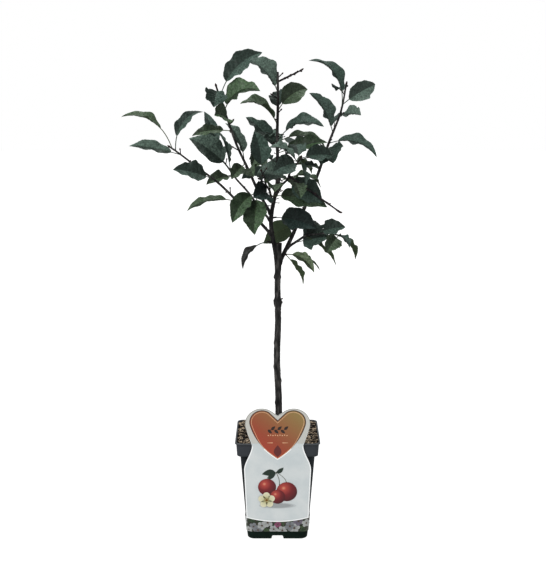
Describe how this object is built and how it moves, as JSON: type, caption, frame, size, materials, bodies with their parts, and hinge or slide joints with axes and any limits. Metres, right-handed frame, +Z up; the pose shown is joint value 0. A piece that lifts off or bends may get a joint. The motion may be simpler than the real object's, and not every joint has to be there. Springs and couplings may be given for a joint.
{
  "type": "dwarf apple tree in a pot",
  "caption": "Young dwarf apple tree on one slim stem with a sparse leafy head, in a square nursery pot with a heart-headed label.",
  "frame": {"origin": "centre of the pot's flat underside", "axes": "+Z up along the stem, +X to the right and -Y towards the viewer when the label faces them"},
  "size_m": [0.5499, 0.4047, 1.0595],
  "materials": {
    "pot_plastic": "fine moulded charcoal plastic, satin",
    "bark_mulch": "coarse bark chips over dark compost, matt",
    "label_print": "printed and lacquered card, satin",
    "sleeve_print": "printed and lacquered card, satin",
    "bark": "young grey-brown bark with pores, matt",
    "leafage": "dark green leaves, soft sheen above and paler below"
  },
  "bodies": {
    "root": {"pot": "pot_plastic", "soil": "bark_mulch", "label_card": "label_print", "label_sleeve": "sleeve_print", "trunk": "bark", "leader": "bark", "bough_left_low": "bark", "bough_left_mid": "bark", "bough_left_high": "bark", "bough_right_mid": "bark", "bough_right_high": "bark", "bough_right_spread": "bark", "bough_front": "bark", "bough_back": "bark", "foliage_left_low": "leafage", "foliage_left_mid": "leafage", "foliage_left_high": "leafage", "foliage_top": "leafage", "foliage_right_mid": "leafage", "foliage_right_high": "leafage", "foliage_right_spread": "leafage", "foliage_front": "leafage", "foliage_back": "leafage", "foliage_low_right": "leafage", "foliage_low_left": "leafage", "foliage_left_hanging": "leafage", "foliage_behind": "leafage", "foliage_right_centre": "leafage"}
  },
  "joints": []
}
